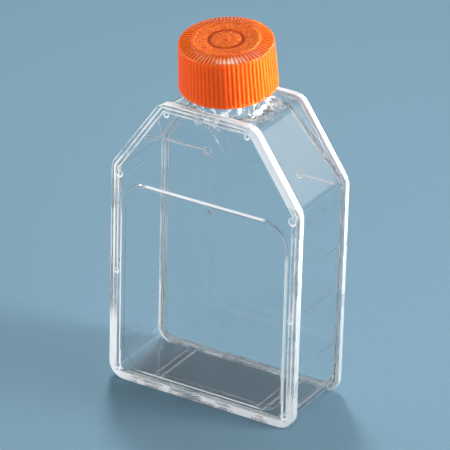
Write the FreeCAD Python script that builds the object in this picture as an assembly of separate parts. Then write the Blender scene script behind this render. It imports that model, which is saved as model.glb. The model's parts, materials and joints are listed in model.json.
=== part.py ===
import FreeCAD, Part
import os
from math import atan2, cos, pi, radians, sin, sqrt, tan

# Cell culture flask that stands on its end: a clear moulded tank with a canted neck, a plate welded
# over its front, and a ribbed screw cap with a liner.
# Frame: X runs across the width, the front plate faces -Y, +Z is up.
# The origin is the centre of the base, on the surface that the flask stands on.
# Lengths are in millimetres and angles in degrees.

Vector = FreeCAD.Vector

# --- tank: overall sizes -------------------------------------------------------------------------
width = 85.0
depth = 38.5                    # between the outer faces of the front and back rims
height = 125.4                  # to the top of the rims
shoulder_height = 94.2          # where the side edges turn in
top_width = 42.0                # of the flat top, between its sharp corners
rim_corner_radii = (7.0, 8.0, 6.5)          # bottom, shoulder and top corners of the rims
cavity_corner_radii = (5.5, 2.6, 2.2)       # the same corners inside the walls

# --- tank: walls and rims ------------------------------------------------------------------------
wall = 1.9                      # side, top, bottom and back walls
rim_overhang = 1.5              # how far the rims stand out past the walls
flange_thickness = 1.4          # of the tank's rim that the front plate is welded to
back_rim_thickness = 2.6
rim_edge_radius = 0.5
rim_root_radius = 0.5           # between the walls and the rims
weld_groove = 0.25              # edge radius on each side of the weld line
weld_line = 0.04                # thickness of the fused line between the flange and the plate
back_fillet_radius = 1.4        # inside, between the back wall or the ramp and the other walls
pocket_fillet_radius = 0.8      # outside, between the ramp and the walls of the hollow behind it

# --- tank: ramp from the back wall up to the neck ------------------------------------------------
fold_below_shoulder = 3.2       # from the shoulder down to the fold inside the back wall
ramp_angle = 12.5               # leaning forwards from the vertical
fold_radius = 4.0               # on the fold, inside
dish_radius = 19.6              # recess on the ramp, round at the top
dish_depth = 0.5
dish_centre = 12.4              # up the ramp from the fold, of the round part
dish_shoulder = 14.0            # up the ramp from the fold to where the round part begins
dish_foot = 24.2                # width of the recess at the fold
dish_corner_radius = 3.0        # where its straight sides meet the round part
dish_edge_radius = 0.35         # round the recess's floor
dish_fold_gap = 0.1             # the recess stays this far in front of the back wall

# --- tank: small features ------------------------------------------------------------------------
foot_rib_spacing = 47.6         # between the two ribs under the base
foot_rib_width = 2.9
foot_rib_edge_radius = 0.4
graduation_drops = (69.7, 45.5, 27.7, 7.0)      # from the shoulder down to each line
graduation_short = 13.0         # length of every other line; the rest are longer
graduation_front_gap = 4.91     # from the flange to the long lines
graduation_back_gap = 3.65      # from all lines to the back rim
graduation_radius = 0.35        # of the round ridge that makes each line
graduation_proud = 0.15
pin_mark_depth = 0.4            # the marks' walls slope by as much
back_mark_spacing = 40.8        # two marks on the fold inside the back wall
back_mark_radius = 1.8

# --- front plate ---------------------------------------------------------------------------------
plate_thickness = 1.9
panel_side_margin = 4.8         # from the rim's outer edge to the raised panel
panel_bottom_margin = 6.0
panel_below_shoulder = 5.8      # from the shoulder down to the raised panel
panel_corner_radius = 10.0
panel_raise = 0.6
panel_chamfer = 0.5
panel_inner_margin = 1.5        # the recess behind the panel is this much smaller all round
panel_recess_radius = 0.4
# Round pin marks on both sides of the face: in from the rim's edge, then a height, then the radius.
shoulder_marks = (3.5, 3.6, 1.75)       # down from the shoulder
middle_marks = (3.0, 46.4, 1.1)         # down from the shoulder
top_marks = (3.0, 4.5, 1.25)            # down from the top
base_marks = (4.3, 5.6, 1.5)            # up from the base
gate_mark = (3.1, 2.8, 1.0)     # left by the gate: beside the middle, down from the panel's top, radius

# --- neck, in its own frame: +Z is the neck's axis, from the outside of the top wall ---------------
neck_tilt = 8.0                 # towards the front
neck_radius = 15.0
neck_front_gap = 0.45           # at the top wall, from the weld face to the neck
neck_wall = 1.8
neck_root_radius = 2.4          # of the round collar where the neck leaves the top wall
neck_root_sink = 0.4            # how far the collar is sunk into the leaning neck
neck_reach = 35.0               # how far the tube runs down behind the ramp
mouth_bevel = 0.4               # on the mouth's outer edge

# --- screw thread --------------------------------------------------------------------------------
thread_lead = 5.0
thread_turns = 1.5
thread_height = 1.3
thread_root_width = 2.0
thread_crest_width = 0.9
thread_below_mouth = 3.0        # from the mouth down to the end of the neck's ridge
thread_sink = 0.3               # how deep a ridge is rooted in its wall
thread_crest_clearance = 0.6    # radial, from each crest to the other piece's wall

# --- screw cap and liner -------------------------------------------------------------------------
cap_gap = 9.0                   # from the top wall to the cap's lower edge
cap_height = 19.8
cap_skirt_top = 1.6             # thickness over the ribs' crests, beside the roof
cap_skirt_bottom = 2.5          # the same at the lower edge, before the inside flares
cap_roof = 1.6
cap_edge_radius = 0.8
cap_flare = 0.7                 # extra inner radius at the lower edge
rib_count = 70
rib_depth = 0.45
rib_crest_share = 0.42          # of each rib's pitch
rib_flank_share = 0.16
top_ring_radius = 12.6          # raised ring on the roof
top_ring_width = 0.7
top_ring_height = 0.25
groove_radius = 6.6             # round groove in the middle of the roof
groove_width = 1.5
groove_depth = 0.5
gate_radius = 1.1               # nub left by the moulding gate
gate_height = 0.35
liner_thickness = 1.2
liner_side_clearance = 0.5
liner_roof_clearance = 0.1
seal_clearance = 0.05           # liner to mouth
bead_thickness = 0.9            # bead that holds the liner in the cap
bead_liner_clearance = 0.1
bead_neck_clearance = 0.6

# --- derived sizes -------------------------------------------------------------------------------
front_face = -depth / 2
back_face = depth / 2
plate_back = front_face + plate_thickness
weld_face = plate_back + weld_line
back_inner = back_face - wall
inner_inset = rim_overhang + wall
ramp_start = shoulder_height - fold_below_shoulder
panel_top = shoulder_height - panel_below_shoulder
graduation_end = back_face - back_rim_thickness - graduation_back_gap
graduation_long = graduation_end - (weld_face + flange_thickness + graduation_front_gap)
top_wall_outside = height - rim_overhang
shoulder_angle = atan2((width - top_width) / 2, height - shoulder_height)
neck_centre = weld_face + neck_front_gap + neck_radius     # Y, at the outside of the top wall
bore_radius = neck_radius - neck_wall
neck_crest_radius = neck_radius + thread_height
cap_inner_radius = neck_crest_radius + thread_crest_clearance
cap_crest_radius = neck_radius + thread_crest_clearance
cap_top_radius = cap_inner_radius + cap_skirt_top
cap_bottom_radius = cap_inner_radius + cap_skirt_bottom
cap_top = cap_gap + cap_height
roof_underside = cap_top - cap_roof
liner_top = roof_underside - liner_roof_clearance
liner_bottom = liner_top - liner_thickness
neck_length = liner_bottom - seal_clearance
liner_radius = cap_inner_radius - liner_side_clearance
neck_thread_start = neck_length - thread_below_mouth - thread_lead * thread_turns
cap_thread_start = neck_thread_start - thread_lead / 2
past = 1.0                      # how far a cutting shape runs past what it cuts
tolerance = 1e-4                # for finding edges by their place
neck_place = FreeCAD.Placement(
    Vector(0, neck_centre, top_wall_outside),
    FreeCAD.Rotation(Vector(1, 0, 0), neck_tilt),
)


def rounded_polygon(corners, radii, y):
    """A closed wire in the plane at y, through (x, z) corners with an arc of its radius at each."""
    edges = []
    stops = []
    count = len(corners)
    for i in range(count):
        here = Vector(corners[i][0], y, corners[i][1])
        before = Vector(corners[i - 1][0], y, corners[i - 1][1]) - here
        after = Vector(corners[(i + 1) % count][0], y, corners[(i + 1) % count][1]) - here
        before.normalize()
        after.normalize()
        half_angle = before.getAngle(after) / 2
        run = radii[i] / tan(half_angle)
        bisector = before + after
        bisector.normalize()
        middle = here + bisector * (radii[i] / sin(half_angle) - radii[i])
        stops.append((here + before * run, middle, here + after * run))
    for i in range(count):
        start, middle, end = stops[i]
        edges.append(Part.Arc(start, middle, end).toShape())
        edges.append(Part.LineSegment(end, stops[(i + 1) % count][0]).toShape())
    return Part.Wire(edges)


def tank_outline(inset, y, radii=None):
    """The tank's outline as seen from the front, moved in by inset; radii default to the rims', moved in."""
    side = width / 2 - inset
    shoulder = shoulder_height - inset * tan(shoulder_angle / 2)
    top_side = top_width / 2 - inset * tan((pi / 2 - shoulder_angle) / 2)
    top = height - inset
    corners = [
        (-side, inset), (side, inset), (side, shoulder),
        (top_side, top), (-top_side, top), (-side, shoulder),
    ]
    bottom_r, shoulder_r, top_r = radii or [radius - inset for radius in rim_corner_radii]
    return rounded_polygon(corners, (bottom_r, bottom_r, shoulder_r, top_r, top_r, shoulder_r), y)


def prism(wire, length):
    """The solid that the wire sweeps along +Y."""
    return Part.Face(wire).extrude(Vector(0, length, 0))


def tank_prism(inset, y_from, y_to, radii=None):
    return prism(tank_outline(inset, y_from, radii), y_to - y_from)


def edges_at(shape, y):
    """The edges that lie wholly in the plane at y."""
    boxes = [(edge, edge.BoundBox) for edge in shape.Edges]
    return [edge for edge, box in boxes if max(abs(box.YMin - y), abs(box.YMax - y)) < tolerance]


def edges_along(shape, wire):
    """The edges whose middle lies on the wire."""
    middles = [(edge, edge.valueAt((edge.FirstParameter + edge.LastParameter) / 2)) for edge in shape.Edges]
    return [edge for edge, middle in middles if wire.distToShape(Part.Vertex(middle))[0] < tolerance]


def edges_on_plane(shape, point, normal):
    """The edges whose two ends and middle lie on the plane."""
    found = []
    for edge in shape.Edges:
        first, last = edge.FirstParameter, edge.LastParameter
        spots = [edge.valueAt(value) for value in (first, (first + last) / 2, last)]
        if all(abs((spot - point).dot(normal)) < tolerance for spot in spots):
            found.append(edge)
    return found


def turned(points):
    """The solid that a closed (radius, z) outline sweeps round the Z axis."""
    corners = [Vector(radius, 0, z) for radius, z in points]
    face = Part.Face(Part.makePolygon(corners + corners[:1]))
    return face.revolve(Vector(0, 0, 0), Vector(0, 0, 1), 360)


def tube(inner, outer, z_from, z_to):
    return turned([(inner, z_from), (outer, z_from), (outer, z_to), (inner, z_to)])


def thread_ridge(root_radius, crest_radius, start):
    """A right-hand helical ridge from its root to its crest, either outwards or inwards."""
    sink = thread_sink if root_radius > crest_radius else -thread_sink
    helix = Part.makeHelix(thread_lead, thread_lead * thread_turns, root_radius)
    half_root = thread_root_width / 2
    half_crest = thread_crest_width / 2
    section = Part.makePolygon([
        Vector(root_radius + sink, 0, -half_root),
        Vector(crest_radius, 0, -half_crest),
        Vector(crest_radius, 0, half_crest),
        Vector(root_radius + sink, 0, half_root),
        Vector(root_radius + sink, 0, -half_root),
    ])
    ridge = Part.Wire(helix.Edges).makePipeShell([section], True, True)
    ridge.translate(Vector(0, 0, start))
    return ridge


def behind_plane(start_y, start_z, angle):
    """Everything behind a plane that leans forwards by angle above the line at (start_y, start_z)."""
    rise = height
    lean = rise * tan(radians(angle))
    reach = depth
    corners = [
        Vector(-width, start_y, start_z),
        Vector(-width, start_y + reach, start_z),
        Vector(-width, start_y + reach, start_z + rise),
        Vector(-width, start_y - lean, start_z + rise),
    ]
    return Part.Face(Part.makePolygon(corners + corners[:1])).extrude(Vector(2 * width, 0, 0))


def round_mark(x, surface, z, radius):
    """A short cone along +Y that cuts a pin mark into a face at y = surface, which faces -Y."""
    return Part.makeCone(radius + past, radius - pin_mark_depth, past + pin_mark_depth,
                         Vector(x, surface - past, z), Vector(0, 1, 0))


def beside_fold(edge):
    """Whether the edge runs along the fold, which has its own radius."""
    return abs(edge.BoundBox.Center.z - ramp_start) < past


def ramp_dish():
    """The shallow recess on the ramp, kept clear of the tank's fillets and running out at the fold."""
    foot = Vector(dish_foot / 2, 0, 0)
    start = Vector(sqrt(dish_radius ** 2 - (dish_shoulder - dish_centre) ** 2), 0, dish_shoulder)
    top = Vector(0, 0, dish_centre + dish_radius)
    left_foot, left_start = Vector(-foot.x, 0, foot.z), Vector(-start.x, 0, start.z)
    outline = Part.Wire([
        Part.makeLine(left_foot, foot),
        Part.makeLine(foot, start),
        Part.Arc(start, top, left_start).toShape(),
        Part.makeLine(left_start, left_foot),
    ])
    disc = Part.Face(outline).extrude(Vector(0, dish_depth + past, 0))
    disc.translate(Vector(0, -past, 0))
    corners = [edge for edge in disc.Edges if edge.BoundBox.YLength > dish_depth
               and edge.BoundBox.Center.z > dish_centre]
    disc = disc.makeFillet(dish_corner_radius, corners)
    disc = disc.makeFillet(dish_edge_radius, edges_at(disc, dish_depth))
    disc.Placement = FreeCAD.Placement(
        Vector(0, back_inner, ramp_start),
        FreeCAD.Rotation(Vector(1, 0, 0), ramp_angle),
    )
    clear_walls = tank_prism(inner_inset + back_fillet_radius, weld_face, back_inner - dish_fold_gap,
                             cavity_corner_radii)
    return disc.common(clear_walls)


def cavity():
    """The space that the tank holds, open at the front."""
    lean = radians(ramp_angle)
    space = tank_prism(inner_inset, weld_face - past, back_inner, cavity_corner_radii)
    space = space.cut(behind_plane(back_inner, ramp_start, ramp_angle))
    fold_line = Part.makeLine(Vector(-width, back_inner, ramp_start), Vector(width, back_inner, ramp_start))
    space = space.makeFillet(fold_radius, edges_along(space, fold_line))
    fold = Vector(0, back_inner, ramp_start)
    behind = edges_at(space, back_inner) + edges_on_plane(space, fold, Vector(0, cos(lean), sin(lean)))
    space = space.makeFillet(back_fillet_radius, [edge for edge in behind if not beside_fold(edge)])
    return space.fuse(ramp_dish())


def pocket_behind_ramp():
    """The open hollow between the ramp and the back rim."""
    lean = radians(ramp_angle)
    space = tank_prism(inner_inset, weld_face, back_face + past, cavity_corner_radii)
    start = back_inner + wall / cos(lean)
    space = space.common(behind_plane(start, ramp_start, ramp_angle))
    deep = edges_on_plane(space, Vector(0, start, ramp_start), Vector(0, cos(lean), sin(lean)))
    return space.makeFillet(pocket_fillet_radius, [edge for edge in deep if not beside_fold(edge)])


def neck_tube():
    """The neck's solid outer shape in its own frame, with its thread."""
    stem = turned([
        (0, -neck_reach), (neck_radius, -neck_reach), (neck_radius, neck_length - mouth_bevel),
        (neck_radius - mouth_bevel, neck_length), (0, neck_length),
    ])
    return stem.fuse(thread_ridge(neck_radius, neck_crest_radius, neck_thread_start))


def neck_collar():
    """The quarter-round collar that stands on the top wall, round the neck's root."""
    inner = neck_radius - neck_root_sink
    outer = inner + neck_root_radius
    top = neck_root_radius
    middle = neck_root_radius * (1 - cos(pi / 4))
    base = -wall / 2
    profile = Part.Wire([
        Part.makeLine(Vector(inner - past, 0, base), Vector(outer, 0, base)),
        Part.makeLine(Vector(outer, 0, base), Vector(outer, 0, 0)),
        Part.Arc(Vector(outer, 0, 0), Vector(inner + middle, 0, middle), Vector(inner, 0, top)).toShape(),
        Part.makeLine(Vector(inner, 0, top), Vector(inner - past, 0, top)),
        Part.makeLine(Vector(inner - past, 0, top), Vector(inner - past, 0, base)),
    ])
    collar = Part.Face(profile).revolve(Vector(0, 0, 0), Vector(0, 0, 1), 360)
    collar.translate(Vector(0, neck_centre, top_wall_outside))
    return collar


def graduations():
    """Volume lines on both side walls, long and short in turn, as low round ridges."""
    reach = width / 2 - rim_overhang + graduation_proud - graduation_radius
    bars = []
    for i, drop in enumerate(graduation_drops):
        run = graduation_long if i % 2 else graduation_short
        for x in (-reach, reach):
            start = Vector(x, graduation_end - run, shoulder_height - drop)
            bars.append(Part.makeCylinder(graduation_radius, run, start, Vector(0, 1, 0)))
    return bars


def foot_ribs():
    """Two ribs under the bottom wall, as deep as the rims stand out."""
    start = weld_face + flange_thickness / 2
    run = back_face - back_rim_thickness / 2 - start
    ribs = []
    for side in (-1, 1):
        x = side * foot_rib_spacing / 2 - foot_rib_width / 2
        rib = Part.makeBox(foot_rib_width, run, rim_overhang + wall / 2, Vector(x, start, 0))
        low = [edge for edge in rib.Edges
               if edge.BoundBox.ZMax < tolerance and edge.BoundBox.YLength > run / 2]
        ribs.append(rib.makeFillet(foot_rib_edge_radius, low))
    return ribs


def rimmed_walls():
    """The tank's filled outer shape: walls, the flange at the front and the rim at the back."""
    flange_back = weld_face + flange_thickness
    rim_front = back_face - back_rim_thickness
    flange = tank_prism(0, weld_face, flange_back)
    flange = flange.makeFillet(weld_groove, edges_at(flange, weld_face))
    flange = flange.makeFillet(rim_edge_radius, edges_at(flange, flange_back))
    back_rim = tank_prism(0, rim_front, back_face)
    rim_edges = edges_at(back_rim, back_face) + edges_at(back_rim, rim_front)
    back_rim = back_rim.makeFillet(rim_edge_radius, rim_edges)
    walls = tank_prism(rim_overhang, weld_face, back_face).fuse([flange, back_rim]).removeSplitter()
    roots = edges_along(walls, tank_outline(rim_overhang, flange_back))
    roots += edges_along(walls, tank_outline(rim_overhang, rim_front))
    return walls.makeFillet(rim_root_radius, roots)


def flask_body():
    """Tank walls, ramp, rims and neck: one moulding, open at the front."""
    shell = rimmed_walls().fuse(foot_ribs() + graduations()).removeSplitter()
    shell = shell.cut(pocket_behind_ramp())
    neck = neck_tube()
    neck.Placement = neck_place
    front_clear = Part.makeBox(2 * width, depth, 2 * height, Vector(-width, weld_face - depth, 0))
    above_rim = Part.makeBox(2 * width, 4 * depth, height, Vector(-width, -2 * depth, height))
    in_front = front_clear.cut(above_rim)
    shell = shell.fuse([neck.cut(in_front), neck_collar().cut(front_clear)])
    shell = shell.cut(cavity())
    bore = Part.makeCylinder(bore_radius, neck_reach + neck_length + past, Vector(0, 0, -neck_reach))
    bore.Placement = neck_place.multiply(bore.Placement)
    marks = [
        round_mark(side * back_mark_spacing / 2, back_inner, ramp_start, back_mark_radius)
        for side in (-1, 1)
    ]
    shell = shell.cut([bore] + marks)
    return shell.removeSplitter()


def panel_outline(inset, y):
    side = width / 2 - panel_side_margin - inset
    low = panel_bottom_margin + inset
    high = panel_top - inset
    corners = [(-side, low), (side, low), (side, high), (-side, high)]
    return rounded_polygon(corners, [panel_corner_radius - inset] * 4, y)


def front_plate():
    """The plate over the tank's front, with its middle pressed forwards into a panel."""
    plate = tank_prism(0, front_face, plate_back)
    plate = plate.makeFillet(rim_edge_radius, edges_at(plate, front_face))
    plate = plate.makeFillet(weld_groove, edges_at(plate, plate_back))
    panel = prism(panel_outline(0, front_face - panel_raise), plate_thickness)
    panel = panel.makeChamfer(panel_chamfer, edges_at(panel, front_face - panel_raise))
    deep = plate_back - panel_raise
    recess = prism(panel_outline(panel_inner_margin, deep), panel_raise + past)
    recess = recess.makeFillet(panel_recess_radius, edges_at(recess, deep))
    places = [
        (width / 2 - shoulder_marks[0], shoulder_height - shoulder_marks[1], shoulder_marks[2]),
        (width / 2 - middle_marks[0], shoulder_height - middle_marks[1], middle_marks[2]),
        (top_width / 2 - top_marks[0], height - top_marks[1], top_marks[2]),
        (width / 2 - base_marks[0], base_marks[1], base_marks[2]),
    ]
    marks = [round_mark(gate_mark[0], front_face - panel_raise, panel_top - gate_mark[1], gate_mark[2])]
    for x, z, radius in places:
        for side in (-1, 1):
            marks.append(round_mark(side * x, front_face, z, radius))
    return plate.fuse(panel).cut([recess] + marks)


def rib_wire(radius, z):
    """The cap's toothed outline at one height."""
    pitch = 2 * pi / rib_count
    crest = rib_crest_share * pitch / 2
    root = crest + rib_flank_share * pitch
    low = radius - rib_depth
    points = []
    for i in range(rib_count):
        for angle, r in ((-root, low), (-crest, radius), (crest, radius), (root, low)):
            turn = i * pitch + angle
            points.append(Vector(r * cos(turn), r * sin(turn), z))
    return Part.makePolygon(points + points[:1])


def screw_cap():
    """The cap in the neck's frame, closed on the neck."""
    outlines = [rib_wire(cap_bottom_radius, cap_gap), rib_wire(cap_top_radius, cap_top)]
    ribbed = Part.makeLoft(outlines, True, True)
    bevel = turned([
        (0, cap_gap), (cap_bottom_radius, cap_gap), (cap_bottom_radius, cap_top - cap_edge_radius),
        (cap_top_radius, cap_top - cap_edge_radius), (cap_top_radius - cap_edge_radius, cap_top),
        (0, cap_top),
    ])
    cap = ribbed.common(bevel)
    ring = tube(top_ring_radius - top_ring_width / 2, top_ring_radius + top_ring_width / 2,
                cap_top - cap_roof / 2, cap_top + top_ring_height)
    gate = Part.makeCylinder(gate_radius, cap_roof / 2 + gate_height, Vector(0, 0, cap_top - cap_roof / 2))
    cap = cap.fuse([ring, gate])
    groove = tube(groove_radius - groove_width / 2, groove_radius + groove_width / 2,
                  cap_top - groove_depth, cap_top + past)
    hollow = turned([
        (0, cap_gap - past), (cap_inner_radius + cap_flare, cap_gap - past),
        (cap_inner_radius + cap_flare, cap_gap), (cap_inner_radius, cap_thread_start),
        (cap_inner_radius, roof_underside), (0, roof_underside),
    ])
    cap = cap.cut([groove, hollow])
    bead_top = liner_bottom - bead_liner_clearance
    bead = turned([
        (cap_inner_radius + thread_sink, bead_top), (neck_radius + bead_neck_clearance, bead_top),
        (cap_inner_radius + thread_sink, bead_top - bead_thickness),
    ])
    return cap.fuse([bead, thread_ridge(cap_inner_radius, cap_crest_radius, cap_thread_start)])


def cap_liner():
    """The soft disc under the cap's roof that seals on the neck's mouth."""
    return Part.makeCylinder(liner_radius, liner_thickness, Vector(0, 0, liner_bottom))


def on_neck(shape):
    """The shape moved from the neck's frame to the flask's."""
    shape.Placement = neck_place.multiply(shape.Placement)
    return shape


def write(name, shape):
    solids = shape.Solids
    print(name, "solids", len(solids), "valid", shape.isValid(), "volume", round(shape.Volume, 1))
    (solids[0] if len(solids) == 1 else shape).exportStep(os.path.join("parts", name + ".step"))


os.makedirs("parts", exist_ok=True)
write("flask_body", flask_body())
write("front_plate", front_plate())
write("cap_liner", on_neck(cap_liner()))
write("screw_cap", on_neck(screw_cap()))
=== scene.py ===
import bpy
import json
from math import cos, pi, radians, sin
from mathutils import Matrix, Vector


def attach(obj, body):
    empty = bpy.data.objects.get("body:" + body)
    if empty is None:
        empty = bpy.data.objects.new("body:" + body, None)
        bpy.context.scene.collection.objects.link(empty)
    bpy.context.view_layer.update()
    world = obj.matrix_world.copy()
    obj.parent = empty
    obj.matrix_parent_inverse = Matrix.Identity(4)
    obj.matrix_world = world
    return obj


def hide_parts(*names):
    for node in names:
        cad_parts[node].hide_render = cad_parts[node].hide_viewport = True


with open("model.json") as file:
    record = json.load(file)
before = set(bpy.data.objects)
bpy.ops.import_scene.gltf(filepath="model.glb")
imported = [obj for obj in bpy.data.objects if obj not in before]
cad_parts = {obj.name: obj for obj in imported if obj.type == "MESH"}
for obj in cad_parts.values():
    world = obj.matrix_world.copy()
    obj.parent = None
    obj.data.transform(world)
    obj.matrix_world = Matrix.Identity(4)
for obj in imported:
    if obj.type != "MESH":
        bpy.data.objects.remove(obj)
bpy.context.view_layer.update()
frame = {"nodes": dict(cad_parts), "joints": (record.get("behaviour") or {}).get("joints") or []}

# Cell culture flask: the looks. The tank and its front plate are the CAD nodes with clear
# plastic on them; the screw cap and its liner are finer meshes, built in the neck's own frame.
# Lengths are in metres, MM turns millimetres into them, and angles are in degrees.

MM = 0.001
scene = bpy.context.scene

# --- the neck's frame: +Z is its axis, from the outside of the tank's top wall --------------------
hinge = next(joint for joint in frame["joints"] if joint["name"] == "cap_turn")
neck_axis = Vector(hinge["axis"]).normalized()
side = Vector((1, 0, 0))
neck_frame = Matrix.Translation(Vector(hinge["pos_m"])) @ Matrix(
    (side, neck_axis.cross(side), neck_axis)).transposed().to_4x4()

# --- tank, as the CAD has it ----------------------------------------------------------------------
half_width, rim_height, shoulder_height, half_top = 42.5 * MM, 125.4 * MM, 94.2 * MM, 21.0 * MM
rim_band = 3.4 * MM             # from the rims' outer edge to the space inside
flange_back, back_rim_front = -15.9 * MM, 16.65 * MM
plate_marks_y = (-18.6 * MM, -18.4 * MM)    # marks and creases in front of this are the plate's
back_marks_y = (16.2 * MM, 16.6 * MM)       # and those behind this are the back wall's
# Round pin marks, whose walls carry a painted highlight ring: distance from the middle, height and
# radius.
plate_marks = ((39.0 * MM, 90.6 * MM, 1.75 * MM), (39.5 * MM, 47.8 * MM, 1.1 * MM),
               (18.0 * MM, 120.9 * MM, 1.25 * MM), (38.2 * MM, 5.6 * MM, 1.5 * MM))
back_marks = ((20.4 * MM, 91.0 * MM, 1.8 * MM),)
# The raised panel's edges, which carry painted highlight lines: heights of the level ones and
# distance of the upright ones from the middle, then where each kind fades out.
panel_top, panel_bottom, panel_side = 88.2 * MM, 6.25 * MM, 37.45 * MM
panel_reach = (28 * MM, 26 * MM)            # from the middle
panel_rise = (78 * MM, 72 * MM)             # above the base
back_fold = 91.0 * MM                       # the fold inside the back wall
fold_reach = (21 * MM, 23 * MM)             # from the middle, where the fold's two ends begin

# --- screw cap, in the neck's frame ---------------------------------------------------------------
cap_bottom, cap_top = 9.0 * MM, 28.75 * MM
skirt_bottom_radius, skirt_top_radius = 19.34 * MM, 18.46 * MM
cap_edge_radius = 1.1 * MM
lip_radius = 0.35 * MM
rib_count = 70
rib_depth, corner_depth, tooth_depth = 0.28 * MM, 0.16 * MM, 0.38 * MM
rib_fade = 0.9 * MM             # the ribs run out over this height, just above the lower edge
tooth_inner_radius = 13.7 * MM  # the ribs go on over the edge as teeth, in to this radius
tooth_fade = 0.3 * MM
crown_drop = 0.5 * MM           # the toothed band curves down by this much towards the edge
roof_softness = 0.12 * MM       # half the width over which the roof's ring and groove rise
ring_radius, ring_width, ring_height = 12.6 * MM, 0.7 * MM, 0.25 * MM
groove_radius, groove_width, groove_depth = 6.6 * MM, 1.5 * MM, 0.5 * MM
gate_radius, gate_height = 1.1 * MM, 0.35 * MM
roof_underside = 27.2 * MM
cap_inner_radius, cap_mouth_radius = 16.9 * MM, 17.6 * MM
thread_start, thread_lead, thread_turns = 12.85 * MM, 5.0 * MM, 1.5
thread_height, thread_root, thread_crest = 1.3 * MM, 2.0 * MM, 0.9 * MM
thread_taper = 0.06             # of a turn, at each end of the ridge
bead_top, bead_thickness, bead_height = 25.8 * MM, 0.9 * MM, 1.3 * MM
bead_tip_edge = (0.05 * MM, 0.1 * MM)       # chamfer on the bead's upper edge

# --- liner, in the neck's frame -------------------------------------------------------------------
liner_bottom, liner_top, liner_radius = 25.9 * MM, 27.1 * MM, 16.4 * MM
liner_edge_radius = 0.25 * MM
seal_radius, seal_width, seal_depth = 14.1 * MM, 2.2 * MM, 0.06 * MM
seal_softness = 0.3 * MM
print_step, print_rings = 0.15 * MM, 25     # the rings that carry the mouth's print

# --- mesh density: points round a ring, and rings along each stretch ------------------------------
roof_points, rib_points, inside_points = rib_count * 3, rib_count * 12, rib_count * 4
liner_points = 128
tooth_rings, corner_rings, skirt_rings, fade_rings = 6, 8, 8, 4
small_arc_rings, thread_rings = 4, 80
roof_extra_rings = (3.2 * MM, groove_radius, 9.8 * MM)
flat_middle = 4 * MM            # radius of the last ring before a flat middle

# --- painted highlight on the clear plastic, as white matte: 0 is clear and 1 is white -----------
rim_painted_highlight, left_rim_painted_highlight, crease_painted_highlight, root_painted_highlight = 0.68, 0.9, 0.9, 0.75
matte_roughness = 0.3
streak_pitch = 1.7 * MM         # of the bright lines along the rims

# --- colours --------------------------------------------------------------------------------------
skirt_colours = ((0.86, 0.085, 0.002, 1), (0.94, 0.115, 0.004, 1))
# painted shade: the roof is painted darker than the skirt, where the light from above falls
# strongest
roof_painted_shade_colours = ((0.74, 0.12, 0.002, 1), (0.82, 0.155, 0.002, 1))
# painted shade, for the cap's teeth valleys, roof groove and sand grains
painted_shade_colour = (0.42, 0.035, 0.0, 1)
foam_colours = ((0.78, 0.77, 0.73, 1), (0.88, 0.87, 0.84, 1))
floor_colours = ((0.25, 0.415, 0.53, 1), (0.27, 0.44, 0.56, 1))
# painted light: the far floor's paler colour
painted_far_light_colour = (0.47, 0.78, 0.98, 1)
horizon_colour = (0.22, 0.37, 0.47, 1)
white = (1, 1, 1, 1)

# --- studio ---------------------------------------------------------------------------------------
floor_reach, floor_drop = 12.0, 0.05 * MM
# the floor is painted paler with distance, as painted light
far_floor = (0.6, 2.5)          # the floor pales between these distances
# Each lamp: name, azimuth, elevation, distance, width and height, watts, the height it faces,
# the spread of its light, and whether it lights the floor. Azimuth 0 is in front of the plate
# and 90 is at +X. The low lamps leave the floor out, where they would show as pools of light.
lamp_table = (
    ("key", 105, 25, 0.9, (0.35, 0.35), 4.0, 90 * MM, 180, True),
    ("top", 218, 61, 0.8, (0.1, 0.2), 3.0, 150 * MM, 180, True),
    ("fill", -50, 13, 0.8, (0.3, 0.16), 5.6, 90 * MM, 180, False),
    ("side", 70, 10, 0.8, (0.3, 0.14), 2.2, 90 * MM, 180, False),
    ("accent", 112, 5, 0.6, (0.1, 0.1), 0.18, 145 * MM, 18, False))
camera_azimuth, camera_elevation, camera_roll = 30.3, 26.42, 1.52
camera_distance, camera_lens, camera_sensor = 1.535, 313.8, 36
camera_target = Vector((-1.77 * MM, 0, 70.28 * MM))
glass_bounces = 64


def smooth(low, high, value):
    """0 below low, 1 above high, and a smooth rise between them."""
    share = min(max((value - low) / (high - low), 0), 1)
    return share * share * (3 - 2 * share)


def direction(azimuth, elevation):
    """The unit vector out from the flask; azimuth 0 is in front of the plate and 90 is at +X."""
    a, e = radians(azimuth), radians(elevation)
    return Vector((sin(a) * cos(e), -cos(a) * cos(e), sin(e)))


# --- rings and skins ------------------------------------------------------------------------------
def arc(centre, radius, start, end, steps):
    """Points on an arc in the (r, z) half plane."""
    points = []
    for i in range(steps + 1):
        angle = radians(start + (end - start) * i / steps)
        points.append((centre[0] + radius * cos(angle), centre[1] + radius * sin(angle)))
    return points


def line(start, end, steps):
    """Points along a line in the (r, z) half plane, without its first one."""
    shares = [i / steps for i in range(1, steps + 1)]
    return [(start[0] + (end[0] - start[0]) * s, start[1] + (end[1] - start[1]) * s)
            for s in shares]


def ring(count, place):
    """A ring of points round the axis; place(angle) gives each one's (r, z)."""
    points = []
    for i in range(count):
        angle = 2 * pi * i / count
        r, z = place(angle)
        points.append(Vector((r * cos(angle), r * sin(angle), z)))
    return points


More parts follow.
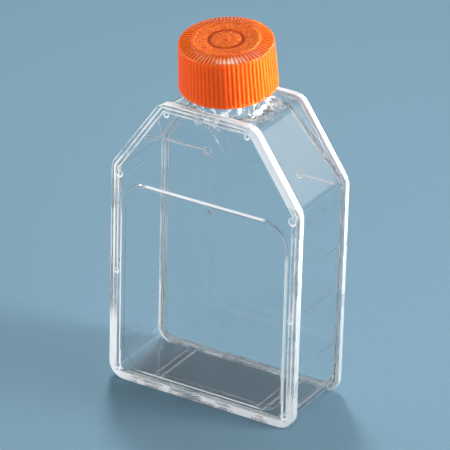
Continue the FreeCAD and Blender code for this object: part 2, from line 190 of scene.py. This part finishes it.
def skin(name, rings, first, last):
    """A closed mesh over rings from the pole at height first to the pole at height last.

    Neighbouring rings have as many points as each other, or a whole number of times as many.
    """
    vertices = [Vector((0, 0, first))]
    faces = []
    starts = []
    for points in rings:
        starts.append(len(vertices))
        vertices += points
    vertices.append(Vector((0, 0, last)))
    count = len(rings[0])
    for i in range(count):
        faces.append((0, starts[0] + i, starts[0] + (i + 1) % count))
    for k in range(len(rings) - 1):
        faces += bridge(starts[k], len(rings[k]), starts[k + 1], len(rings[k + 1]))
    count = len(rings[-1])
    for i in range(count):
        faces.append((starts[-1] + (i + 1) % count, starts[-1] + i, len(vertices) - 1))
    mesh = bpy.data.meshes.new(name)
    mesh.from_pydata(vertices, [], faces)
    mesh.transform(neck_frame)
    mesh.shade_smooth()
    piece = bpy.data.objects.new(name, mesh)
    scene.collection.objects.link(piece)
    return piece


def bridge(a, a_count, b, b_count):
    """Faces between two rings whose first points are vertices a and b."""
    faces = []
    if a_count == b_count:
        for i in range(a_count):
            j = (i + 1) % a_count
            faces.append((a + i, b + i, b + j, a + j))
        return faces
    if a_count < b_count:
        share = b_count // a_count
        for i in range(a_count):
            j = (i + 1) % a_count
            fine = [b + (i * share + k) % b_count for k in range(share + 1)]
            half = share // 2
            for k in range(share):
                faces.append((a + (i if k <= half else j), fine[k], fine[k + 1]))
            faces.append((a + i, fine[half + 1], a + j))
        return faces
    return [tuple(reversed(face)) for face in bridge(b, b_count, a, a_count)]


# --- node trees -----------------------------------------------------------------------------------
class Nodes:
    """Short ways to add nodes to a tree. Each value is a socket or a constant."""

    def __init__(self, tree):
        self.tree = tree

    def node(self, kind, inputs=None, **settings):
        node = self.tree.nodes.new(kind)
        for key, value in settings.items():
            setattr(node, key, value)
        for key, value in (inputs or {}).items():
            if isinstance(value, bpy.types.NodeSocket):
                self.tree.links.new(value, node.inputs[key])
            else:
                node.inputs[key].default_value = value
        return node

    def math(self, operation, *values, clamp=False):
        inputs = dict(enumerate(values))
        return self.node("ShaderNodeMath", inputs, operation=operation, use_clamp=clamp).outputs[0]

    def times(self, first, *others):
        for value in others:
            first = self.math("MULTIPLY", first, value)
        return first

    def most(self, first, *others):
        for value in others:
            first = self.math("MAXIMUM", first, value)
        return first

    def least(self, first, *others):
        for value in others:
            first = self.math("MINIMUM", first, value)
        return first

    def distance(self, x, y):
        return self.math("SQRT", self.math("ADD", self.times(x, x), self.times(y, y)))

    def off(self, value, centre):
        """How far a value is from a centre."""
        return self.math("ABSOLUTE", self.math("SUBTRACT", value, centre))

    def span(self, value, low, high, to_low, to_high, how="LINEAR"):
        """Maps low to to_low and high to to_high, and stays at them outside."""
        values = {"Value": value, "From Min": low, "From Max": high,
                  "To Min": to_low, "To Max": to_high}
        return self.node("ShaderNodeMapRange", values, interpolation_type=how).outputs["Result"]

    def rise(self, value, low, high, to_low=0.0, to_high=1.0):
        """As span, with a smooth rise."""
        return self.span(value, low, high, to_low, to_high, "SMOOTHSTEP")

    def vector(self, operation, *values):
        node = self.node("ShaderNodeVectorMath", dict(enumerate(values)), operation=operation)
        return node.outputs["Value" if operation in ("LENGTH", "DOT_PRODUCT") else "Vector"]

    def mix(self, share, first, second):
        """The first colour where share is 0 and the second where it is 1."""
        return self.node("ShaderNodeMix", {0: share, 6: first, 7: second},
                         data_type="RGBA").outputs[2]


class Shader(Nodes):
    """A material with one principled surface; its textures lie in the object's own space."""

    def __init__(self, name, **values):
        self.material = bpy.data.materials.new(name)
        self.material.use_nodes = True
        super().__init__(self.material.node_tree)
        self.surface = self.tree.nodes["Principled BSDF"]
        for socket, value in values.items():
            self.surface.inputs[socket.replace("_", " ")].default_value = value
        self.place = self.node("ShaderNodeTexCoord").outputs["Object"]

    def axis(self, name):
        return self.node("ShaderNodeSeparateXYZ", {0: self.place}).outputs[name]

    def from_neck(self):
        return self.vector("SUBTRACT", self.place, neck_frame.translation)

    def noise(self, scale, detail=3.0, roughness=0.5):
        values = {"Vector": self.place, "Scale": scale, "Detail": detail, "Roughness": roughness}
        return self.node("ShaderNodeTexNoise", values).outputs["Fac"]

    def bump(self, height, distance, strength=1.0, normal=None):
        values = {"Height": height, "Distance": distance, "Strength": strength}
        if normal:
            values["Normal"] = normal
        return self.node("ShaderNodeBump", values).outputs["Normal"]

    def set(self, socket, value):
        self.tree.links.new(value, self.surface.inputs[socket])


# --- materials ------------------------------------------------------------------------------------
def rim_painted_highlights(shader):
    """1 along the rims' painted bright lines and patches, and 0 on the clear walls. The white is
    painted highlight, for light piped along the rims and reflected by them.
    """
    x, y, z = (shader.axis(name) for name in "XYZ")
    across = shader.math("ABSOLUTE", x)
    slope = Vector((rim_height - shoulder_height, half_width - half_top)).normalized()
    reach = slope.dot(Vector((half_width, shoulder_height)))
    along = shader.math("ADD", shader.times(across, slope.x), shader.times(z, slope.y))
    inset = shader.least(shader.math("SUBTRACT", half_width, across),
                         shader.math("SUBTRACT", reach, along),
                         shader.math("SUBTRACT", rim_height, z), z)
    near = shader.rise(inset, rim_band - 0.1 * MM, rim_band + 0.5 * MM, 1.0, 0.0)
    front = shader.span(y, flange_back, flange_back + 0.3 * MM, 1.0, 0.0)
    back = shader.span(y, back_rim_front - 0.3 * MM, back_rim_front, 0.0, 1.0)
    below_neck = shader.span(z, rim_height + 0.1 * MM, rim_height + 0.6 * MM, 1.0, 0.0)
    rims = shader.times(near, shader.most(front, back), below_neck)

    # painted highlight: bright white lines along the rims, broken up by noise
    waves = shader.math("COSINE", shader.times(inset, 2 * pi / streak_pitch))
    broken = shader.span(shader.noise(70.0), 0.4, 0.6, -0.5, 0.7)
    painted_streaks = shader.rise(shader.math("ADD", waves, broken), -0.2, 0.9)

    # where the rims are painted white all over as highlight: the right shoulder, the lower corners,
    # which reach higher on the left, and patches along the base
    shoulder = shader.times(
        shader.rise(z, shoulder_height - 3 * MM, shoulder_height + 4 * MM),
        shader.rise(x, 10 * MM, 22 * MM))
    low = shader.math("ADD", z, shader.span(x, -34 * MM, -26 * MM, -14 * MM, 0.0))
    corner = shader.times(shader.rise(low, 10 * MM, 22 * MM, 1.0, 0.0),
                          shader.rise(across, 26 * MM, 34 * MM))
    base = shader.times(shader.span(z, 5 * MM, 7 * MM, 1.0, 0.0),
                        shader.rise(shader.noise(75.0, 2.0), 0.44, 0.54))
    return shader.math("MULTIPLY", rims, shader.most(painted_streaks, shoulder, corner, base), clamp=True)


def crease_painted_highlights(shader):
    """1 on the round marks' walls, the panel's edges and the fold inside the back wall, where white
    highlight is painted.
    """
    x, y, z = (shader.axis(name) for name in "XYZ")
    across = shader.math("ABSOLUTE", x)
    on_plate = shader.span(y, *plate_marks_y, 1.0, 0.0)
    on_back = shader.span(y, *back_marks_y, 0.0, 1.0)
    masks = []
    # painted highlight: white rings on the marks' walls and white lines along the panel's edges and
    # the back fold
    for marks, where in ((plate_marks, on_plate), (back_marks, on_back)):
        for mark_x, mark_z, radius in marks:
            far = shader.distance(shader.math("SUBTRACT", across, mark_x),
                                  shader.math("SUBTRACT", z, mark_z))
            wall = shader.off(far, radius - 0.25 * MM)
            masks.append(shader.times(shader.span(wall, 0.2 * MM, 0.45 * MM, 1.0, 0.0), where))
    for edge, narrow, wide, other, fade, where in (
            (shader.off(z, panel_top), 0.3 * MM, 0.5 * MM, across, panel_reach, on_plate),
            (shader.off(z, panel_bottom), 0.35 * MM, 0.6 * MM, across, panel_reach, on_plate),
            (shader.off(across, panel_side), 0.35 * MM, 0.6 * MM, z, panel_rise, on_plate),
            (shader.off(z, back_fold), 0.2 * MM, 0.6 * MM, across, fold_reach, on_back)):
        masks.append(shader.times(shader.span(edge, narrow, wide, 1.0, 0.0), where,
                                  shader.span(other, *fade, 0.0, 1.0)))
    return shader.most(*masks)


def clear_plastic(name):
    """Moulded polystyrene: colourless and glossy, frosted on its rims and wavy round the neck, with
    painted highlight as white matte on the rims, the creases and round the neck's root.
    """
    shader = Shader(name, Base_Color=white, IOR=1.59)
    rims, painted_crease_lines = rim_painted_highlights(shader), crease_painted_highlights(shader)
    # painted highlight: the rims and creases are painted white matte in place of light piped along
    # and reflected by them, more on the left rim
    share = shader.span(shader.axis("X"), -38 * MM, -30 * MM, left_rim_painted_highlight, rim_painted_highlight)
    painted_highlight = shader.most(shader.times(rims, share), shader.times(painted_crease_lines, crease_painted_highlight))
    clean = shader.span(shader.noise(90.0, 4.0), 0.35, 0.75, 0.0, 0.035)
    frost = shader.times(shader.most(rims, painted_crease_lines), matte_roughness)
    shader.set("Roughness", shader.math("ADD", clean, frost))

    away = shader.from_neck()
    height = shader.vector("DOT_PRODUCT", away, neck_axis)
    root = shader.times(shader.rise(shader.vector("LENGTH", away), 16 * MM, 21 * MM, 1.0, 0.0),
                        shader.rise(height, 5 * MM, 10 * MM, 1.0, 0.0),
                        shader.span(shader.axis("Z"), 119 * MM, 122 * MM, 0.0, 1.0))
    # painted highlight: white matte patches round the neck's root, in place of its refracted glints
    painted_root_patches = shader.span(shader.noise(330.0, 3.0, 0.6), 0.5, 0.6, 0.0, root_painted_highlight)
    painted_highlight = shader.most(painted_highlight, shader.times(painted_root_patches, root))
    shader.set("Transmission Weight", shader.math("SUBTRACT", 1.0, painted_highlight))
    wavy = shader.bump(shader.noise(45.0, 2.0), 0.02 * MM)
    ripple = shader.times(shader.noise(260.0, 2.0, 0.6), root)
    shader.set("Normal", shader.bump(ripple, 1.2 * MM, 1.0, wavy))
    return shader.material


def cap_plastic():
    """Orange polyethylene that lets some light through, sandy and matt on the roof, with painted
    shade in the teeth's valleys, the roof's groove and the sand, and a roof painted darker than the
    skirt.
    """
    shader = Shader("orange_polyethylene", IOR=1.51, Specular_IOR_Level=0.3,
                    Subsurface_Weight=0.5, Subsurface_Radius=(1.0, 0.15, 0.03),
                    Subsurface_Scale=2.5 * MM)
    away = shader.from_neck()
    x, y, height = (shader.vector("DOT_PRODUCT", away, axis)
                    for axis in (side, neck_axis.cross(side), neck_axis))
    radius = shader.distance(x, y)
    high = shader.span(height, cap_top - 1.2 * MM, cap_top - 0.8 * MM, 0.0, 1.0)
    roof = shader.times(high, shader.span(
        radius, tooth_inner_radius - 0.6 * MM, tooth_inner_radius, 1.0, 0.0))
    teeth = shader.times(high, shader.math("SUBTRACT", 1.0, roof))

    turn = shader.times(shader.math("ARCTAN2", y, x), rib_count)
    valley = shader.rise(shader.math("COSINE", turn), -0.5, 0.3, 1.0, 0.0)
    groove = shader.span(shader.off(radius, groove_radius), groove_width / 2 - 0.25 * MM,
                         groove_width / 2 + 0.05 * MM, 1.0, 0.0)
    sand = shader.noise(950.0, 4.0, 0.65)
    # painted shade: darker in the teeth's valleys, in the roof's groove and between the sand's
    # grains
    painted_shade = shader.most(shader.times(roof, shader.span(sand, 0.46, 0.6, 0.0, 0.75)),
                       shader.times(teeth, valley, 0.9), shader.times(roof, groove, 0.85))
    cloudy = shader.noise(160.0, 4.0, 0.6)
    # the roof takes its darker colours as painted shade
    colour = shader.mix(high, shader.mix(cloudy, *skirt_colours), shader.mix(cloudy, *roof_painted_shade_colours))
    shader.set("Base Color", shader.mix(painted_shade, colour, painted_shade_colour))

    fine = shader.noise(4200.0, 2.0, 0.5)
    rough = shader.math("ADD", shader.span(fine, 0.3, 0.7, 0.2, 0.3), shader.times(roof, 0.5))
    shader.set("Roughness", shader.math("SUBTRACT", rough, shader.times(teeth, 0.14)))
    coarse = shader.bump(shader.times(sand, roof), 0.9 * MM)
    shader.set("Normal", shader.bump(fine, 0.02 * MM, 1.0, coarse))
    return shader.material


def liner_foam():
    """Soft, matt, off-white foam with fine cells."""
    shader = Shader("liner_foam", Roughness=0.7, Subsurface_Weight=0.3, Subsurface_Scale=1.0 * MM)
    cells = shader.noise(1800.0, 3.0, 0.6)
    shader.set("Base Color", shader.mix(cells, *foam_colours))
    shader.set("Normal", shader.bump(cells, 0.06 * MM, 0.6))
    return shader.material


def floor_paper():
    """Matt paper, painted paler with distance: painted light, as a lit studio sweep has."""
    shader = Shader("floor_paper", Roughness=0.9, Specular_IOR_Level=0.0)
    paper = shader.mix(shader.noise(400.0, 4.0), *floor_colours)
    # painted light: the floor pales with distance
    far = shader.rise(shader.vector("LENGTH", shader.place), *far_floor)
    shader.set("Base Color", shader.mix(far, paper, painted_far_light_colour))
    return shader.material


# --- screw cap ------------------------------------------------------------------------------------
def skirt_radius(z):
    """Radius of the tapered skirt over its ribs."""
    share = (z - cap_bottom) / (cap_top - cap_bottom)
    return skirt_bottom_radius + (skirt_top_radius - skirt_bottom_radius) * share


def ridge(angle):
    """1 on the crest of each rib and 0 between them."""
    return smooth(0.2, 0.75, 0.5 + 0.5 * cos(rib_count * angle))


def roof_height(r):
    """Height of the roof's face at a radius, with its ring, groove and gate nub."""
    soft = roof_softness
    on_ring = smooth(-soft, soft, ring_width / 2 - abs(r - ring_radius))
    in_groove = smooth(-soft, soft, groove_width / 2 - abs(r - groove_radius))
    on_gate = smooth(-soft, soft, gate_radius - r)
    return cap_top + ring_height * on_ring - groove_depth * in_groove + gate_height * on_gate


def thread_rise(angle, z):
    """How far the cap's helical ridge stands in from its wall."""
    rise = 0
    for k in range(int(thread_turns) + 1):
        turn = angle / (2 * pi) + k
        ends = smooth(0, thread_taper, turn) * smooth(0, thread_taper, thread_turns - turn)
        off = abs(z - thread_start - thread_lead * turn)
        rise = max(rise, ends * smooth(-thread_root / 2, -thread_crest / 2, -off))
    return rise * thread_height


def roof_rings():
    """Rings from the middle of the roof out to its teeth."""
    edges = [gate_radius, groove_radius - groove_width / 2, groove_radius + groove_width / 2,
             ring_radius - ring_width / 2, ring_radius + ring_width / 2]
    steps = [share * roof_softness for share in (-1, -0.5, 0, 0.5, 1)]
    radii = sorted([edge + step for edge in edges for step in steps] + list(roof_extra_rings))
    return [ring(roof_points, lambda angle: (r, roof_height(r))) for r in radii]


def rib_rings():
    """Rings out over the teeth, round the edge and down the ribs."""
    crown = cap_top - crown_drop
    corner = (skirt_radius(crown - cap_edge_radius) - cap_edge_radius, crown - cap_edge_radius)
    start = tooth_inner_radius + tooth_fade
    # each ring's radius and height on the crests, and how deep it is between them
    path = [(tooth_inner_radius - tooth_fade, cap_top, 0.0),
            (tooth_inner_radius, cap_top, tooth_depth / 2),
            (start, cap_top, tooth_depth)]
    for i in range(1, tooth_rings + 1):
        share = i / tooth_rings
        path.append((start + (corner[0] - start) * share, cap_top - crown_drop * share ** 2,
                     tooth_depth))
    for i, (r, z) in enumerate(arc(corner, cap_edge_radius, 90, 0, corner_rings)[1:]):
        path.append((r, z, tooth_depth + (corner_depth - tooth_depth) * smooth(0, 4, i + 1)))
    low = cap_bottom + lip_radius + rib_fade
    for i, (_, z) in enumerate(line(corner, (0, low), skirt_rings)):
        deep = corner_depth + (rib_depth - corner_depth) * smooth(0, 2, i + 1)
        path.append((skirt_radius(z), z, deep))
    for i in range(1, fade_rings + 1):
        z = low - rib_fade * i / fade_rings
        path.append((skirt_radius(z), z, rib_depth * (1 - smooth(0, 1, i / fade_rings))))
    rings = []
    for i, (r, z, deep) in enumerate(path):
        before, after = path[max(i - 1, 0)], path[min(i + 1, len(path) - 1)]
        along = Vector((after[0] - before[0], after[1] - before[1])).normalized()
        inwards = (along.y, -along.x)
        rings.append(ring(rib_points, lambda angle: (
            r + inwards[0] * deep * (1 - ridge(angle)),
            z + inwards[1] * deep * (1 - ridge(angle)))))
    return rings


def cap_inside():
    """Rings from the lower edge up the threaded wall to the middle of the roof's underside."""
    lip_height = cap_bottom + lip_radius
    lip = arc((skirt_radius(cap_bottom) - lip_radius, lip_height), lip_radius, -20, -90,
              small_arc_rings)
    lip += arc((cap_mouth_radius + lip_radius, lip_height), lip_radius, -90, -180, small_arc_rings)
    rings = [ring(inside_points, lambda angle: (r, z)) for r, z in lip]
    start, end = cap_bottom + 2 * lip_radius, bead_top - bead_thickness
    for i in range(thread_rings + 1):
        z = start + (end - start) * i / thread_rings
        share = max(1 - (z - cap_bottom) / (thread_start - cap_bottom), 0)
        flare = (cap_mouth_radius - cap_inner_radius) * share
        rings.append(ring(inside_points, lambda angle: (
            cap_inner_radius + flare - thread_rise(angle, z), z)))
    tip = cap_inner_radius - bead_height
    bead = line((cap_inner_radius, end), (tip, bead_top - bead_tip_edge[1]), 4)
    bead += [(tip + bead_tip_edge[0], bead_top), (cap_inner_radius, bead_top)]
    roof = line((cap_inner_radius, bead_top), (cap_inner_radius, roof_underside), 2)
    roof += line((cap_inner_radius, roof_underside), (flat_middle, roof_underside), 3)
    return rings + [ring(inside_points, lambda angle: (r, z)) for r, z in bead + roof]


def screw_cap():
    """The ribbed cap, which stands for the CAD's."""
    cap = skin("ribbed_screw_cap", roof_rings() + rib_rings() + cap_inside(),
               cap_top + gate_height, roof_underside)
    cap.data.materials.append(cap_plastic())
    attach(cap, "cap")
    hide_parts("screw_cap")


# --- liner and clear parts ------------------------------------------------------------------------
def liner():
    """A soft disc, with the mouth's print on its underside."""
    def under(r):
        off = seal_width / 2 - abs(r - seal_radius)
        return liner_bottom + seal_depth * smooth(-seal_softness, seal_softness, off)

    edge = liner_radius - liner_edge_radius
    low, high = (edge, liner_bottom + liner_edge_radius), (edge, liner_top - liner_edge_radius)
    path = [(flat_middle, liner_top), (10 * MM, liner_top)]
    path += arc(high, liner_edge_radius, 90, 0, small_arc_rings)
    path += arc(low, liner_edge_radius, 0, -90, small_arc_rings)
    path += [(r, under(r)) for r in (edge - i * print_step for i in range(1, print_rings + 1))]
    path.append((flat_middle, liner_bottom))
    rings = [ring(liner_points, lambda angle: (r, z)) for r, z in path]
    disc = skin("sealing_liner", rings, liner_top, liner_bottom)
    disc.data.materials.append(liner_foam())
    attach(disc, "seal")
    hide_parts("cap_liner")


def clear_parts():
    """The tank and its front plate: the CAD's own solids, in clear plastic."""
    for name in ("flask_body", "front_plate"):
        node = frame["nodes"][name]
        node.data.materials.clear()
        node.data.materials.append(clear_plastic(name + "_polystyrene"))


# --- floor, lamps, world and camera ---------------------------------------------------------------
def floor():
    """A plain floor, just under the flask."""
    mesh = bpy.data.meshes.new("floor")
    corners = [(x * floor_reach, y * floor_reach, 0)
               for x, y in ((-1, -1), (1, -1), (1, 1), (-1, 1))]
    mesh.from_pydata(corners, [], [(0, 1, 2, 3)])
    mesh.materials.append(floor_paper())
    piece = bpy.data.objects.new("floor", mesh)
    piece.location.z = -floor_drop
    scene.collection.objects.link(piece)


def lamps():
    """Rectangular softboxes that face the flask's axis, as lamp_table says."""
    for name, azimuth, elevation, distance, size, watts, height, spread, on_floor in lamp_table:
        light = bpy.data.lights.new(name, "AREA")
        light.shape = "RECTANGLE"
        light.size, light.size_y = size
        light.spread = radians(spread)
        light.energy = watts
        away = direction(azimuth, elevation)
        lamp = bpy.data.objects.new(name, light)
        lamp.rotation_mode = "QUATERNION"
        lamp.rotation_quaternion = away.to_track_quat("Z", "Y")
        lamp.location = Vector((0, 0, height)) + away * distance
        scene.collection.objects.link(lamp)
        if not on_floor:
            skipped = bpy.data.collections.new(name + "_skips")
            skipped.objects.link(bpy.data.objects["floor"])
            skipped.collection_objects[0].light_linking.link_state = "EXCLUDE"
            lamp.light_linking.receiver_collection = skipped


def sky():
    """The world: a band of the floor's colour at the horizon, and a white dome over it.

    Low down, the dome is bright behind the flask and dim in front. It darkens higher up and
    lightens again overhead.
    """
    world = bpy.data.worlds.new("studio")
    scene.world = world
    world.use_nodes = True
    nodes = Nodes(world.node_tree)
    background = nodes.tree.nodes["Background"]
    place = nodes.node("ShaderNodeTexCoord").outputs["Generated"]
    split = nodes.node("ShaderNodeSeparateXYZ", {0: place}).outputs
    above = nodes.rise(split["Z"], 0.21, 0.265)
    colour = nodes.mix(above, horizon_colour, white)
    low = nodes.times(nodes.rise(split["Y"], -0.4, 0.5, 0.5, 1.5),
                      nodes.rise(split["Z"], 0.33, 0.42, 1.0, 0.2))
    dome = nodes.math("ADD", low, nodes.rise(split["Z"], 0.72, 0.85, 0.0, 0.28))
    strength = nodes.math("MULTIPLY_ADD", nodes.math("SUBTRACT", dome, 1.0), above, 1.0)
    nodes.tree.links.new(colour, background.inputs["Color"])
    nodes.tree.links.new(strength, background.inputs["Strength"])


def camera():
    """The photograph's view."""
    back = direction(camera_azimuth, camera_elevation)
    azimuth, roll = radians(camera_azimuth), radians(camera_roll)
    right = Vector((cos(azimuth), sin(azimuth), 0))
    up = back.cross(right)
    turned = (cos(roll) * right + sin(roll) * up, cos(roll) * up - sin(roll) * right, back)
    lens = bpy.data.cameras.new("camera")
    lens.sensor_width = camera_sensor
    lens.lens = camera_lens
    piece = bpy.data.objects.new("camera", lens)
    piece.matrix_world = Matrix.Translation(
        camera_target + back * camera_distance) @ Matrix(turned).transposed().to_4x4()
    scene.collection.objects.link(piece)
    scene.camera = piece


camera()
clear_parts()
screw_cap()
liner()
floor()
lamps()
sky()
scene.view_settings.view_transform = "Standard"
scene.cycles.max_bounces = glass_bounces
scene.cycles.transmission_bounces = glass_bounces
scene.cycles.glossy_bounces = glass_bounces
